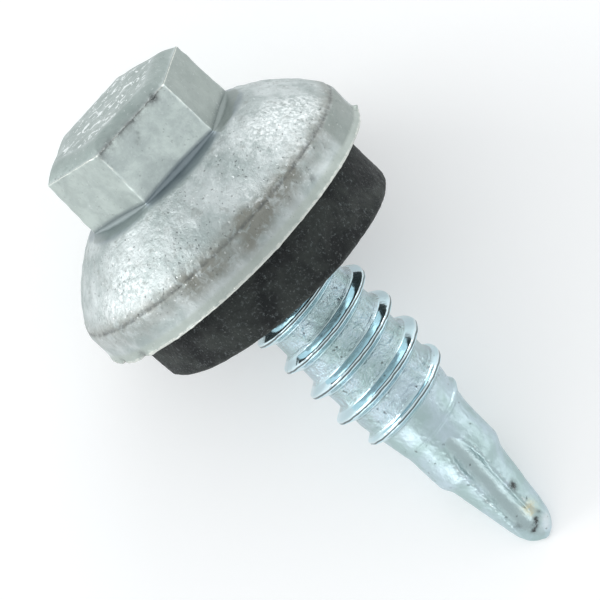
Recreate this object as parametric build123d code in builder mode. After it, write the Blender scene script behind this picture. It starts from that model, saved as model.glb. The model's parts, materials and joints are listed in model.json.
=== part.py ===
"""Self drilling roofing screw: zinc-plated steel screw, cast hex flange head, rubber sealing washer.

Every piece is drawn along the screw's own axis, with the head's bearing face at z = 0, the
hexagon above it and the drill point below it. The finished pieces are then laid down together, so
that the screw rests on the flange's lip and on its drill point, with the floor at z = 0, the head
toward -X and the point toward +X.
"""
from build123d import *
from math import atan2, cos, degrees, floor, pi, radians, sin, tan
import os

# --- Driving dimensions, in millimetres and degrees ------------------------------------------------
# Heights are above the bearing face and depths are below it.

# Cast hexagon
HEX_ACROSS_FLATS = 7.94        # 5/16 in socket, at the top of the flats
HEX_HEIGHT = 7.65              # corners of the top
HEX_CROWN = 0.30               # rise of the top's middle over its corners
HEX_DRAFT = 1.0                # mould draft of each flat
HEX_CORNER_RADIUS = 0.32       # between two flats
HEX_TOP_RADIUS = 0.20          # between the flats and the top
HEX_BASE_RADIUS = 0.33         # between the flats and the ledge round them
HEX_ROOTED = 1.40              # how far the hexagon's block goes down inside the dome
HEX_TURN = -83.3               # direction of one corner, about the axis

# Cast flange
FLANGE_RADIUS = 8.34           # outer edge of the lip
LIP_DEPTH = 0.715
LIP_EDGE_RADIUS = 0.10
LIP_WIDTH = 0.64               # flat underside of the lip
SKIRT_INSET = 0.09             # waist of the skirt, in from the lip's edge
SKIRT_HEIGHT = 0.15
SHOULDER_INSET = 0.14          # crease between the dome and the skirt
SHOULDER_HEIGHT = 1.19
SHOULDER_BLEND = 0.40
DOME_BULGE = 0.30              # rise of the dome's arc over its chord
LEDGE_HEIGHT = 4.15            # narrow ledge round the hexagon's foot
LEDGE_MARGIN = 0.05            # between the corners' fillet and the dome
RECESS_FLARE = 0.50            # the recess under the flange opens out toward the lip

# Sealing washer
WASHER_THICKNESS = 3.49
WASHER_MARGIN = 0.30           # between the washer's rim and the recess round it
WASHER_EDGE_RADIUS = 0.22
WASHER_BORE_CLEARANCE = 0.08   # between the thread's crest and the bore
WASHER_BORE_BEVEL = 0.20

# Screw
SCREW_LENGTH = 22.2            # bearing face to tip, 7/8 in

# Thread, 1/4-14
THREAD_PITCH = 25.4 / 14
THREAD_RADIUS = 3.07           # crest
THREAD_HEIGHT = 0.66           # crest over root
THREAD_FLANK_ANGLE = 30.0      # of each flank
CREST_LAND = 0.18
THREAD_PHASE_DEPTH = 6.68      # depth at which a crest passes the +X side
THREAD_START_DEPTH = 1.00
THREAD_RUN_IN = 2.80           # length over which the crest reaches its full radius
THREAD_RUN_IN_STEP = 0.09      # what the crest lacks of it after its first rise
THREAD_RUN_OUT = 3.80          # length over which the crest fades into the pilot
THREAD_STEEP_RUN_OUT = 1.75    # its last and steeper stretch
THREAD_RUN_OUT_STEP = 0.37     # what the crest has lost where that begins
ROOT_RUN_OUT = 2.90            # length over which the root narrows to the pilot
GROOVE_OVERCUT = 0.12          # the thread's cutting tool stands this much over the crest

# Steel head buried in the casting
CASTING_WALL = 1.17            # between the cast flats and the steel ones
BURIED_HEAD_HEIGHT = 4.60
BURIED_FLANGE_RADIUS = 4.30
BURIED_FLANGE_HEIGHT = 2.10
BURIED_UNDERSIDE_HEIGHT = 1.00
NECK_STEP = 0.05               # the plain neck under the buried head is this much under the root

# Drill point, whose lengths are measured up from the tip
POINT_LENGTH = 5.00            # tip to the foot of the pilot's shoulder
PILOT_SHOULDER_LENGTH = 0.55
PILOT_LENGTH = 2.10            # plain cylinder between the shoulder and the thread
PILOT_STEP = 0.48              # pilot under the thread's root
POINT_STEP = 0.31              # foot of the shoulder under the pilot
POINT_TAPER = 0.62             # and the nose under that
NOSE_HALF_ANGLE = 50.0
CHISEL_EDGE = 0.14             # thickness left at the very tip

# Flutes and cutting facets, one of each on both sides of the point
FLUTE_COUNT = 2
FLUTE_RADIUS = 0.90
FLUTE_LENGTH = 7.20            # tip to the centre of the flute's rounded upper end
FLUTE_START_STEP = 0.27        # depth of its floor there, under the pilot's surface
FLUTE_SLOPE = 9.9              # the floor nears the axis toward the tip
FACET_SLOPE = 18.5

SLOPE_TOLERANCE = 1e-4

# --- Worked out from them --------------------------------------------------------------------------
HEX_TOP = HEX_HEIGHT + HEX_CROWN
HEX_CORNER_REACH = HEX_ACROSS_FLATS / 2 / cos(pi / 6)
HEX_FOOT_REACH = HEX_CORNER_REACH + (HEX_TOP - LEDGE_HEIGHT) * tan(radians(HEX_DRAFT)) / cos(pi / 6)
LEDGE_RADIUS = HEX_FOOT_REACH + HEX_BASE_RADIUS + LEDGE_MARGIN
CROWN_SPHERE_RADIUS = (HEX_CORNER_REACH**2 + HEX_CROWN**2) / (2 * HEX_CROWN)
SHOULDER_RADIUS = FLANGE_RADIUS - SHOULDER_INSET
SKIRT_RADIUS = FLANGE_RADIUS - SKIRT_INSET
RECESS_MOUTH_RADIUS = FLANGE_RADIUS - LIP_WIDTH
RECESS_RADIUS = RECESS_MOUTH_RADIUS - RECESS_FLARE
WASHER_RADIUS = RECESS_RADIUS - WASHER_MARGIN
WASHER_BORE_RADIUS = THREAD_RADIUS + WASHER_BORE_CLEARANCE

ROOT_RADIUS = THREAD_RADIUS - THREAD_HEIGHT
NECK_RADIUS = ROOT_RADIUS - NECK_STEP
PILOT_RADIUS = ROOT_RADIUS - PILOT_STEP
POINT_SHOULDER_RADIUS = PILOT_RADIUS - POINT_STEP
NOSE_RADIUS = POINT_SHOULDER_RADIUS - POINT_TAPER
BURIED_HEAD_APOTHEM = HEX_ACROSS_FLATS / 2 - CASTING_WALL

NOSE_DEPTH = SCREW_LENGTH - NOSE_RADIUS / tan(radians(NOSE_HALF_ANGLE))
POINT_SHOULDER_DEPTH = SCREW_LENGTH - POINT_LENGTH
PILOT_END_DEPTH = POINT_SHOULDER_DEPTH - PILOT_SHOULDER_LENGTH
THREAD_END_DEPTH = PILOT_END_DEPTH - PILOT_LENGTH
THREAD_FULL_END_DEPTH = THREAD_END_DEPTH - THREAD_RUN_OUT

# --- Thread tools ---------------------------------------------------------------------------------
# The thread is what is left between the turns of one helical groove, which is cut turn by turn.
RUN_OUT_TURNS = 2
GROOVE_FLOOR = THREAD_PITCH - CREST_LAND - 2 * THREAD_HEIGHT * tan(radians(THREAD_FLANK_ANGLE))
GROOVE_TOOL_HEIGHT = THREAD_HEIGHT + GROOVE_OVERCUT
GROOVE_MOUTH = GROOVE_FLOOR + 2 * GROOVE_TOOL_HEIGHT * tan(radians(THREAD_FLANK_ANGLE))
GROOVE_PHASE_DEPTH = THREAD_PHASE_DEPTH + THREAD_PITCH / 2
GROOVE_TURNS_ABOVE = floor((GROOVE_PHASE_DEPTH - THREAD_START_DEPTH) / THREAD_PITCH) + 1
GROOVE_TURNS_BELOW = floor((THREAD_END_DEPTH - GROOVE_PHASE_DEPTH) / THREAD_PITCH) + 1
RUN_OUT_CONE = degrees(atan2(PILOT_STEP, ROOT_RUN_OUT))


def groove_outline():
    """Outline of the groove's section: floor at the origin, mouth toward +X of the sketch."""
    with BuildSketch(mode=Mode.PRIVATE) as outline:
        Trapezoid(GROOVE_MOUTH, GROOVE_TOOL_HEIGHT, 90 - THREAD_FLANK_ANGLE, rotation=90)
    return outline.sketch.moved(Location((GROOVE_TOOL_HEIGHT / 2, 0, 0)))


with BuildPart() as groove_turn:
    with BuildLine() as groove_path:
        Helix(THREAD_PITCH, THREAD_PITCH, ROOT_RADIUS)
    with BuildSketch(Plane(groove_path.line @ 0, x_dir=(1, 0, 0), z_dir=groove_path.line % 0)):
        add(groove_outline())
    sweep(is_frenet=True)

# Where the root narrows to the pilot, the groove's floor follows a cone.
RUN_OUT_FOLLOW_DEPTH = GROOVE_PHASE_DEPTH + THREAD_PITCH * GROOVE_TURNS_BELOW
RUN_OUT_FOLLOW_RADIUS = PILOT_RADIUS - (RUN_OUT_FOLLOW_DEPTH - THREAD_END_DEPTH) * tan(
    radians(RUN_OUT_CONE)
)
with BuildPart() as run_out_groove:
    with BuildLine() as run_out_path:
        Helix(
            THREAD_PITCH / cos(radians(RUN_OUT_CONE)),
            THREAD_PITCH * RUN_OUT_TURNS,
            RUN_OUT_FOLLOW_RADIUS,
            center=(0, 0, -RUN_OUT_FOLLOW_DEPTH),
            cone_angle=RUN_OUT_CONE,
        )
    with BuildSketch(Plane(run_out_path.line @ 0, x_dir=(1, 0, 0), z_dir=run_out_path.line % 0)):
        add(groove_outline())
    sweep(is_frenet=True)

# --- Drill point tools ----------------------------------------------------------------------------
flute_start = Vector(PILOT_RADIUS - FLUTE_START_STEP + FLUTE_RADIUS, 0, FLUTE_LENGTH - SCREW_LENGTH)
flute_along = Vector(-sin(radians(FLUTE_SLOPE)), 0, -cos(radians(FLUTE_SLOPE)))
with BuildPart() as flute_cutter:
    with Locations(flute_start):
        Sphere(FLUTE_RADIUS)
    with BuildSketch(Plane(flute_start, x_dir=(0, 1, 0), z_dir=flute_along)):
        Circle(FLUTE_RADIUS)
    extrude(amount=FLUTE_LENGTH + FLUTE_RADIUS)

facet_edge = Vector(CHISEL_EDGE / 2, 0, -SCREW_LENGTH)
facet_outward = Vector(cos(radians(FACET_SLOPE)), 0, -sin(radians(FACET_SLOPE)))
with BuildPart() as facet_cutter:
    with BuildSketch(Plane(facet_edge, x_dir=(0, 1, 0), z_dir=facet_outward)):
        Rectangle(4 * PILOT_RADIUS, 4 * PILOT_RADIUS)
    extrude(amount=2 * PILOT_RADIUS)

# --- Steel head, which the casting grips so that the two turn together ----------------------------
with BuildPart() as buried_head:
    with BuildSketch(Plane.XY.offset(BURIED_UNDERSIDE_HEIGHT)):
        Circle(BURIED_FLANGE_RADIUS)
    extrude(amount=BURIED_FLANGE_HEIGHT - BURIED_UNDERSIDE_HEIGHT)
    with BuildSketch(Plane.XY.offset(BURIED_UNDERSIDE_HEIGHT)):
        RegularPolygon(BURIED_HEAD_APOTHEM, 6, major_radius=False, rotation=HEX_TURN)
    extrude(amount=BURIED_HEAD_HEIGHT - BURIED_UNDERSIDE_HEIGHT)

# --- Threaded shank -------------------------------------------------------------------------------
with BuildPart() as screw_shank:
    with BuildSketch(Plane.XZ):
        with BuildLine():
            Polyline(
                (0, BURIED_UNDERSIDE_HEIGHT),
                (NECK_RADIUS, BURIED_UNDERSIDE_HEIGHT),
                (NECK_RADIUS, -THREAD_START_DEPTH),
                (THREAD_RADIUS - THREAD_RUN_IN_STEP, -THREAD_START_DEPTH - THREAD_HEIGHT),
                (THREAD_RADIUS, -THREAD_START_DEPTH - THREAD_RUN_IN),
                (THREAD_RADIUS, -THREAD_FULL_END_DEPTH),
                (THREAD_RADIUS - THREAD_RUN_OUT_STEP, THREAD_STEEP_RUN_OUT - THREAD_END_DEPTH),
                (PILOT_RADIUS, -THREAD_END_DEPTH),
                (PILOT_RADIUS, -PILOT_END_DEPTH),
                (POINT_SHOULDER_RADIUS, -POINT_SHOULDER_DEPTH),
                (NOSE_RADIUS, -NOSE_DEPTH),
                (0, -SCREW_LENGTH),
                close=True,
            )
        make_face()
    revolve(axis=Axis.Z)
    add(buried_head.part)
    with PolarLocations(0, FLUTE_COUNT):
        add(flute_cutter.part, mode=Mode.SUBTRACT)
        add(facet_cutter.part, mode=Mode.SUBTRACT)
    for turn in range(-GROOVE_TURNS_BELOW, GROOVE_TURNS_ABOVE):
        with Locations((0, 0, turn * THREAD_PITCH - GROOVE_PHASE_DEPTH)):
            add(groove_turn.part, mode=Mode.SUBTRACT)
    add(run_out_groove.part, mode=Mode.SUBTRACT)

# --- Cast head ------------------------------------------------------------------------------------
with BuildPart() as hex_block:
    with BuildSketch(Plane.XY.offset(HEX_TOP)):
        RegularPolygon(HEX_ACROSS_FLATS / 2, 6, major_radius=False, rotation=HEX_TURN)
    extrude(amount=LEDGE_HEIGHT - HEX_ROOTED - HEX_TOP, taper=-HEX_DRAFT)
    fillet(hex_block.edges().filter_by(Plane.XY, reverse=True), HEX_CORNER_RADIUS)
    with Locations((0, 0, HEX_TOP - CROWN_SPHERE_RADIUS)):
        Sphere(CROWN_SPHERE_RADIUS, mode=Mode.INTERSECT)
    fillet(hex_block.faces().sort_by(Axis.Z)[-1].edges(), HEX_TOP_RADIUS)

with BuildPart() as cast_head:
    with BuildSketch(Plane.XZ):
        with BuildLine():
            SagittaArc(
                (LEDGE_RADIUS, LEDGE_HEIGHT),
                (SHOULDER_RADIUS, SHOULDER_HEIGHT),
                DOME_BULGE,
            )
            ThreePointArc(
                (SHOULDER_RADIUS, SHOULDER_HEIGHT),
                (SKIRT_RADIUS, SKIRT_HEIGHT),
                (FLANGE_RADIUS, -LIP_DEPTH),
            )
            Polyline(
                (FLANGE_RADIUS, -LIP_DEPTH),
                (RECESS_MOUTH_RADIUS, -LIP_DEPTH),
                (RECESS_RADIUS, 0),
                (0, 0),
                (0, LEDGE_HEIGHT),
                (LEDGE_RADIUS, LEDGE_HEIGHT),
            )
        make_face()
    revolve(axis=Axis.Z)
    rings = cast_head.edges().filter_by(GeomType.CIRCLE).filter_by(Plane.XY)
    fillet(rings.sort_by_distance((SHOULDER_RADIUS, 0, SHOULDER_HEIGHT))[0], SHOULDER_BLEND)
    rings = cast_head.edges().filter_by(GeomType.CIRCLE).filter_by(Plane.XY)
    fillet(rings.sort_by_distance((FLANGE_RADIUS, 0, -LIP_DEPTH))[0], LIP_EDGE_RADIUS)
    add(hex_block.part)
    ledge_face = cast_head.faces().filter_by(Plane.XY).sort_by(Axis.Z)[-1]
    fillet(ledge_face.inner_wires()[0].edges(), HEX_BASE_RADIUS)
    add(buried_head.part, mode=Mode.SUBTRACT)
    Cylinder(
        NECK_RADIUS,
        BURIED_UNDERSIDE_HEIGHT,
        align=(Align.CENTER, Align.CENTER, Align.MIN),
        mode=Mode.SUBTRACT,
    )

# --- Sealing washer -------------------------------------------------------------------------------
with BuildPart() as sealing_washer:
    with BuildSketch(Plane.XY):
        Circle(WASHER_RADIUS)
        Circle(WASHER_BORE_RADIUS, mode=Mode.SUBTRACT)
    extrude(amount=-WASHER_THICKNESS)
    bore_edge, rim_edge = sealing_washer.faces().sort_by(Axis.Z)[0].edges().sort_by(SortBy.RADIUS)
    chamfer(bore_edge, WASHER_BORE_BEVEL)
    fillet(rim_edge, WASHER_EDGE_RADIUS)


# --- Lying pose -----------------------------------------------------------------------------------
screw_shank.part.label = "screw_shank"
cast_head.part.label = "cast_head"
sealing_washer.part.label = "sealing_washer"
pieces = [screw_shank.part, cast_head.part, sealing_washer.part]


def laid_down(piece, slope):
    """The piece with its head end raised by this slope and turned toward -X."""
    return piece.moved(Rotation(0, slope - 90, 0))


def lowest(piece, slope):
    """Height of the piece's lowest point on that slope."""
    return laid_down(piece, slope).bounding_box().min.Z


# The slope is right when the flange's lip and the drill point reach the floor together.
shallow, steep = 0.0, 45.0
while steep - shallow > SLOPE_TOLERANCE:
    slope = (shallow + steep) / 2
    if lowest(screw_shank.part, slope) > lowest(cast_head.part, slope):
        shallow = slope
    else:
        steep = slope

boxes = [laid_down(piece, slope).bounding_box() for piece in pieces]
middle_x = (min(box.min.X for box in boxes) + max(box.max.X for box in boxes)) / 2
floor_z = min(box.min.Z for box in boxes)

os.makedirs("parts", exist_ok=True)
for piece in pieces:
    resting = laid_down(piece, slope).moved(Location((-middle_x, 0, -floor_z)))
    export_step(resting, f"parts/{piece.label}.step")
print(f"slope {slope:.4f} degrees, bearing face's centre at x {-middle_x:.4f}, z {-floor_z:.4f}")
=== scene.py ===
"""Looks of a self drilling roofing screw: a bright zinc-plated shank, a cast flange head with its
hexagon and a black rubber sealing washer, as fine meshes in the packed frame, on a pale floor."""
import json
from math import asin, atan2, cos, pi, radians, sin, sqrt, tan

import bpy
import numpy as np
from mathutils import Matrix, Vector


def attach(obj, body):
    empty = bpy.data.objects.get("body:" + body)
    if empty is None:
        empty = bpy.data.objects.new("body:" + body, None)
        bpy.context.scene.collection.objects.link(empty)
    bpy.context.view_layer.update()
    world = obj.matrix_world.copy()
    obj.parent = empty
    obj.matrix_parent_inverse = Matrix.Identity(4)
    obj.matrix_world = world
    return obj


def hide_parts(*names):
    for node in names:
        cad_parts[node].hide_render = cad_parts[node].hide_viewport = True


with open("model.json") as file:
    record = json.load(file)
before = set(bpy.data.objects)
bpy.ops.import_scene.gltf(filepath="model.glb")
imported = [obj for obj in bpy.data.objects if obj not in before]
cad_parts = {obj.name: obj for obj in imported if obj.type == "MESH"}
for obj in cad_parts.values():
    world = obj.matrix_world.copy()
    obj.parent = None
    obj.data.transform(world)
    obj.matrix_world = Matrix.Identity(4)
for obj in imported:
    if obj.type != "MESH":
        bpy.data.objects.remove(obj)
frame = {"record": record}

bl_info = {
    "name": "Roofing Screw Looks",
    "version": (1, 0, 0),
    "blender": (4, 5, 0),
    "location": "View3D > Sidebar > Roofing Screw",
    "description": "Builds the surfaces of a self drilling roofing screw on its packed frame",
    "category": "Object",
}

MM = 0.001
BODY = "root"

# --- Frame ---
# The screw's own axis comes from the frame's mounts. In screw space, in millimetres, the head's
# bearing face is z = 0 with the hexagon above it, and +X is the side that faces up as it lies.
MOUNTS = {mount["name"]: mount for mount in frame["record"]["mounts"]}
AXIS_UP = Vector(MOUNTS["hex_drive"]["axis"]).normalized()
SIDE = Vector((0, 1, 0))
FACE_UP = SIDE.cross(AXIS_UP)
HEX_TOP_CENTRE = Vector(MOUNTS["hex_drive"]["pos_m"])


def screw_matrix(hex_height):
    """Matrix from screw space in millimetres to the row frame in metres."""
    turn = Matrix((FACE_UP, SIDE, AXIS_UP)).transposed().to_4x4()
    bearing_centre = HEX_TOP_CENTRE - AXIS_UP * hex_height * MM
    return Matrix.Translation(bearing_centre) @ turn @ Matrix.Scale(MM, 4)


# --- Sizes ---
def length(name, default, description):
    """A size in millimetres, shown in the panel."""
    return bpy.props.FloatProperty(name=name, default=default, description=description, precision=3)


def angle(name, default, description):
    """An angle, given in degrees and kept in radians."""
    return bpy.props.FloatProperty(
        name=name, default=radians(default), description=description, subtype="ANGLE"
    )


def amount(name, default, description):
    """A plain number."""
    return bpy.props.FloatProperty(name=name, default=default, description=description, precision=3)


def colour(name, default, description):
    """A linear colour."""
    return bpy.props.FloatVectorProperty(
        name=name, default=default, description=description, subtype="COLOR", size=3, min=0, max=1
    )


class HeadSizes(bpy.types.PropertyGroup):
    """Sizes of the cast head, in screw space and millimetres."""

    across_flats: length("Across flats", 7.94, "Hexagon at the top of its flats")
    hex_height: length("Hexagon height", 7.65, "Corners of the top, above the bearing face")
    draft: angle("Draft", 1.0, "Mould draft of each flat")
    corner_radius: length("Corner radius", 0.32, "Rounding between two flats")
    top_radius: length("Top edge radius", 0.10, "Rounding between the flats and the top")
    crown: length("Crown", 0.45, "Rise of the top's middle over its corners")
    crown_width: length("Crown width", 1.0, "Width over which the top rises from its edge")
    hex_turn: angle("Hexagon turn", -83.3, "Direction of one corner about the axis")
    ledge_height: length("Ledge height", 4.15, "Foot of the hexagon, above the bearing face")
    ledge_radius: length("Ledge radius", 5.0, "Where the dome begins")
    dome_height: length("Dome middle height", 2.75, "One point on the dome's arc")
    dome_radius: length("Dome middle radius", 6.95, "One point on the dome's arc")
    shoulder_height: length("Shoulder height", 1.19, "Crease between dome and skirt")
    shoulder_radius: length("Shoulder radius", 8.20, "Crease between dome and skirt")
    skirt_radius: length("Skirt radius", 8.25, "Waist of the skirt")
    skirt_height: length("Skirt height", 0.15, "Waist of the skirt")
    lip_radius: length("Lip radius", 8.34, "Outer edge of the flange")
    lip_depth: length("Lip depth", 0.715, "Lip below the bearing face")
    recess_radius: length("Recess radius", 7.2, "Bearing face over the washer")
    recess_mouth: length("Recess mouth", 7.7, "The recess opens toward the lip")
    neck_radius: length("Neck radius", 2.36, "Where the shank leaves the casting")


class WasherSizes(bpy.types.PropertyGroup):
    """Sizes of the rubber washer."""

    radius: length("Radius", 6.9, "Outer radius")
    thickness: length("Thickness", 3.49, "From the bearing face down")
    edge_radius: length("Edge radius", 0.24, "Rounding of the lower edge")
    bore_radius: length("Bore radius", 3.15, "Hole round the thread")
    bore_bevel: length("Bore bevel", 0.20, "Bevel at the hole's lower edge")
    tilt: angle("Tilt", 3.9, "How far the lower face is askew")
    tilt_toward: angle("Tilt toward", 48.0, "Direction about the axis where it reaches lowest")


class ShankSizes(bpy.types.PropertyGroup):
    """Sizes of the threaded shank and the drill point."""

    crest_radius: length("Crest radius", 3.07, "Thread crest")
    root_radius: length("Root radius", 2.41, "Thread root")
    pitch: length("Pitch", 25.4 / 14, "One turn of the thread")
    flank: angle("Flank", 30.0, "Each flank, from a plane square to the axis")
    crest_land: length("Crest land", 0.20, "Width of the crest")
    start_depth: length("Thread start", 1.0, "Where the crest begins to rise")
    phase_depth: length("Thread phase", 6.68, "Depth of a crest on the +X side")
    full_end: length("Full crest end", 10.75, "Crest begins to run out")
    run_out_depth: length("Run-out depth", 12.8, "A point on the run-out")
    run_out_radius: length("Run-out radius", 2.70, "Crest radius at that point")
    root_end: length("Root end", 11.65, "Root begins to narrow")
    thread_end: length("Thread end", 14.55, "Crest and root reach the pilot")
    pilot_radius: length("Pilot radius", 1.93, "Plain cylinder above the point")
    pilot_end: length("Pilot end", 16.65, "Shoulder of the pilot")
    shoulder_depth: length("Point shoulder depth", 17.2, "Lower end of the pilot's shoulder")
    shoulder_radius: length("Point shoulder radius", 1.62, "Point's radius there")
    nose_start: length("Nose start", 21.15, "Depth where the rounded nose begins")
    nose_radius: length("Nose radius", 1.0, "Radius where the rounded nose begins")
    length_below: length("Length", 22.2, "Bearing face to tip")
    flute_radius: length("Flute radius", 0.62, "Round section of a flute")
    flute_start: length("Flute start", 15.0, "Centre of the flute's rounded end")
    flute_floor: length("Flute floor", 1.66, "Floor's distance from the axis there")
    flute_slope: angle("Flute slope", 9.9, "The floor nears the axis toward the tip")
    facet_slope: angle("Facet slope", 25.0, "Cutting facet, from the axis")
    facet_turn: angle("Facet turn", 10.0, "Facets turned about the axis")
    chisel_edge: length("Chisel edge", 0.14, "Thickness left at the tip")


class StageSizes(bpy.types.PropertyGroup):
    """Camera, floor and lights."""

    camera_distance: length("Camera distance", 300.0, "From the axis to the camera, in millimetres")
    axis_tilt: angle("Axis tilt", 13.5, "The axis out of the picture plane")
    axis_turn: angle("Axis turn", 44.0, "The axis in the picture, below level")
    pixels_per_mm: amount("Pixels per mm", 20.95, "Scale of the picture at the axis")
    centre_depth: length("Centre depth", 5.16, "Axis point at the picture's middle")
    centre_shift: length("Centre shift", -0.09, "Picture's middle beside the axis")
    floor_size: length("Floor size", 900.0, "Side of the square floor")


class Finishes(bpy.types.PropertyGroup):
    """Colours of the three finishes and the floor."""

    casting_dark: colour("Casting dark", (0.355, 0.41, 0.405), "Darker tone of the casting")
    casting_light: colour("Casting light", (0.57, 0.62, 0.62), "Lighter tone of the casting")
    casting_blotch: colour("Casting blotch", (0.26, 0.285, 0.27), "Small dark blotches")
    casting_smudge: colour("Casting smudge", (0.43, 0.46, 0.455), "Handling smudges on the casting")
    # Painted shade: this colour darkens the hollow at the hexagon's foot, the flats' lower ends and
    # the top of the dome.
    casting_ledge_shade: colour("Casting ledge", (0.20, 0.245, 0.27), "Smooth ledge round the hexagon")
    casting_flat_dark: colour("Casting flat dark", (0.52, 0.59, 0.575), "Smudges on the flats")
    casting_flat: colour("Casting flat", (0.74, 0.83, 0.79), "Smooth flats of the hexagon")
    casting_border: colour("Casting border", (0.28, 0.34, 0.32), "Smooth border of the top")
    casting_lip: colour("Casting lip", (0.42, 0.47, 0.43), "Pale band along the flange's lip")
    casting_edge: colour("Casting edge", (0.74, 0.76, 0.70), "Rubbed edges")
    # Painted highlight colour: glints, the bright places on the dome and above the crease, and
    # glints on the top.
    casting_highlight: colour("Casting bright", (0.86, 0.90, 0.90), "Glints and rubbed edges")
    # Tarnish colour: a dark patch on the skirt, and painted shade on the right flat and, more
    # lightly, the left flat.
    tarnish_and_shade: colour("Tarnish", (0.27, 0.31, 0.29), "Smooth dull patch on the skirt")
    stain: colour("Stain", (0.19, 0.19, 0.16), "Brownish grey stain along the crease")
    pit: colour("Pit", (0.08, 0.09, 0.09), "Dark pits and seams")
    plate_green: colour("Plate green", (0.42, 0.55, 0.55), "Greenish tone of the plating")
    plate_blue: colour("Plate blue", (0.54, 0.66, 0.72), "Bluish tone of the plating")
    # Painted reflection: the thread flanks get a lighter, bluer colour than the rest of the
    # plating.
    plate_flank_reflection: colour("Plate flank", (0.70, 0.90, 0.97), "Thread flanks")
    # Painted shade: the inside of the flutes is darker than the rest of the plating.
    plate_flute_shade: colour("Plate flute", (0.43, 0.53, 0.54), "Inside the flutes")
    rust: colour("Rust", (0.60, 0.59, 0.44), "Yellowish stain near the tip")
    # Painted highlight at the tip and along each crest, and rubbed burrs beside the flutes.
    plate_bright: colour("Plate bright", (0.92, 0.95, 0.95), "Rubbed crests")
    rubber_dark: colour("Rubber dark", (0.004, 0.005, 0.0055), "Darker tone of the rubber")
    rubber_light: colour("Rubber light", (0.013, 0.016, 0.017), "Lighter tone of the rubber")
    rubber_dust: colour("Rubber dust", (0.06, 0.07, 0.063), "Dusty patches on the rubber")
    rubber_crumb: colour("Rubber crumb", (0.10, 0.115, 0.118), "Fine pale grain of the filler")
    rubber_speck: colour("Rubber speck", (0.16, 0.175, 0.17), "Fine light specks")
    floor: colour("Floor", (0.97, 0.97, 0.97), "Studio floor")


# --- Meshes ---
def linked(name, data):
    """New object in the scene."""
    made = bpy.data.objects.new(name, data)
    bpy.context.collection.objects.link(made)
    return made


def make_piece(name, points, faces, marks):
    """Smooth piece from screw-space points, with one value a point for each of its marks."""
    mesh = bpy.data.meshes.new(name)
    mesh.from_pydata(points.tolist(), [], faces)
    place = mesh.attributes.new("screw_place", "FLOAT_VECTOR", "POINT")
    place.data.foreach_set("vector", points.ravel())
    for label, values in marks.items():
        layer = mesh.attributes.new(label, "FLOAT", "POINT")
        layer.data.foreach_set("value", values.ravel())
    mesh.transform(screw_matrix(bpy.context.scene.screw_head.hex_height))
    mesh.polygons.foreach_set("use_smooth", [True] * len(mesh.polygons))
    mesh.update()
    return linked(name, mesh)


def ring_faces(first, beside):
    """Outward quads between rings that run down the axis."""
    quads = np.stack([first[:-1], first[1:], beside[1:], beside[:-1]], axis=-1)
    return quads.reshape(-1, 4).tolist()


def fan_faces(middle, ring, beside):
    """Triangles between a point and a ring."""
    return [[int(middle), int(a), int(b)] for a, b in zip(ring, beside)]


def capped_rings(name, rings, marks):
    """Piece through rings of points, from its top ring down, with both ends closed."""
    count, columns = rings.shape[:2]
    points = np.vstack([rings.reshape(-1, 3), rings[0].mean(axis=0), rings[-1].mean(axis=0)])
    first = np.arange(count * columns).reshape(count, columns)
    beside = np.roll(first, -1, axis=1)
    top = count * columns
    faces = ring_faces(first, beside)
    faces += fan_faces(top, first[0], beside[0]) + fan_faces(top + 1, beside[-1], first[-1])
    marks = {
        label: np.append(values.ravel(), [values[0].mean(), values[-1].mean()])
        for label, values in marks.items()
    }
    return make_piece(name, points, faces, marks)


def looped_rings(name, rings, marks):
    """Piece through rings of points whose last ring joins the first."""
    count, columns = rings.shape[:2]
    first = np.arange(count * columns).reshape(count, columns)
    first = np.vstack([first, first[:1]])
    beside = np.roll(first, -1, axis=1)
    return make_piece(name, rings.reshape(-1, 3), ring_faces(first, beside), marks)


def seat(piece, node, material):
    """The piece stands for a CAD node, rides on the screw's body and wears its material."""
    piece.data.materials.append(material)
    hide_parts(node)
    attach(piece, BODY)


def round_points(radius, height, turn):
    """Screw-space points from cylinder coordinates."""
    radius, height, turn = np.broadcast_arrays(radius, height, turn)
    return np.stack([radius * np.cos(turn), radius * np.sin(turn), height], axis=-1)


def smooth_step(low, high, x):
    """0 below low, 1 above high, smooth between."""
    t = np.clip((x - low) / (high - low), 0, 1)
    return t * t * (3 - 2 * t)


def smooth_max(a, b, blend):
    """The larger of two values, rounded where they cross."""
    return (a + b + np.sqrt((a - b) ** 2 + blend**2)) / 2


def smooth_min(a, b, blend):
    """The smaller of two values, rounded where they cross."""
    return -smooth_max(-a, -b, blend)


def bell(x, width):
    """1 at 0, falling off smoothly on both sides over about the width."""
    return np.exp(-((x / width) ** 2))


def uneven(points, grain, seed, waves=28):
    """Smooth random values, mostly within -1 and 1, with a grain in millimetres."""
    draw = np.random.default_rng(seed)
    total = np.zeros(points.shape[:-1])
    for _ in range(waves):
        along = draw.normal(size=3)
        along *= 2 * pi / (grain * draw.uniform(0.7, 1.7) * np.linalg.norm(along))
        total += np.sin(points @ along + draw.uniform(0, 2 * pi))
    return total / sqrt(waves)


def rippled(points, depth, grain, seed):
    """Smooth random depths, mostly within the given one, with a grain in millimetres."""
    return depth * uneven(points, grain, seed)


def pushed(rings, amounts):
    """Rings moved along their own surface normals, outward where amounts are positive."""
    down = np.gradient(rings, axis=0)
    round_about = np.roll(rings, -1, axis=1) - np.roll(rings, 1, axis=1)
    normals = np.cross(down, round_about)
    lengths = np.linalg.norm(normals, axis=-1, keepdims=True)
    return rings + normals / np.maximum(lengths, 1e-9) * amounts[..., None]


def near(points, place, reach):
    """1 at a place, falling off smoothly over about the reach."""
    return np.exp(-(((points - np.array(place)) ** 2).sum(axis=-1)) / reach**2)


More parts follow.
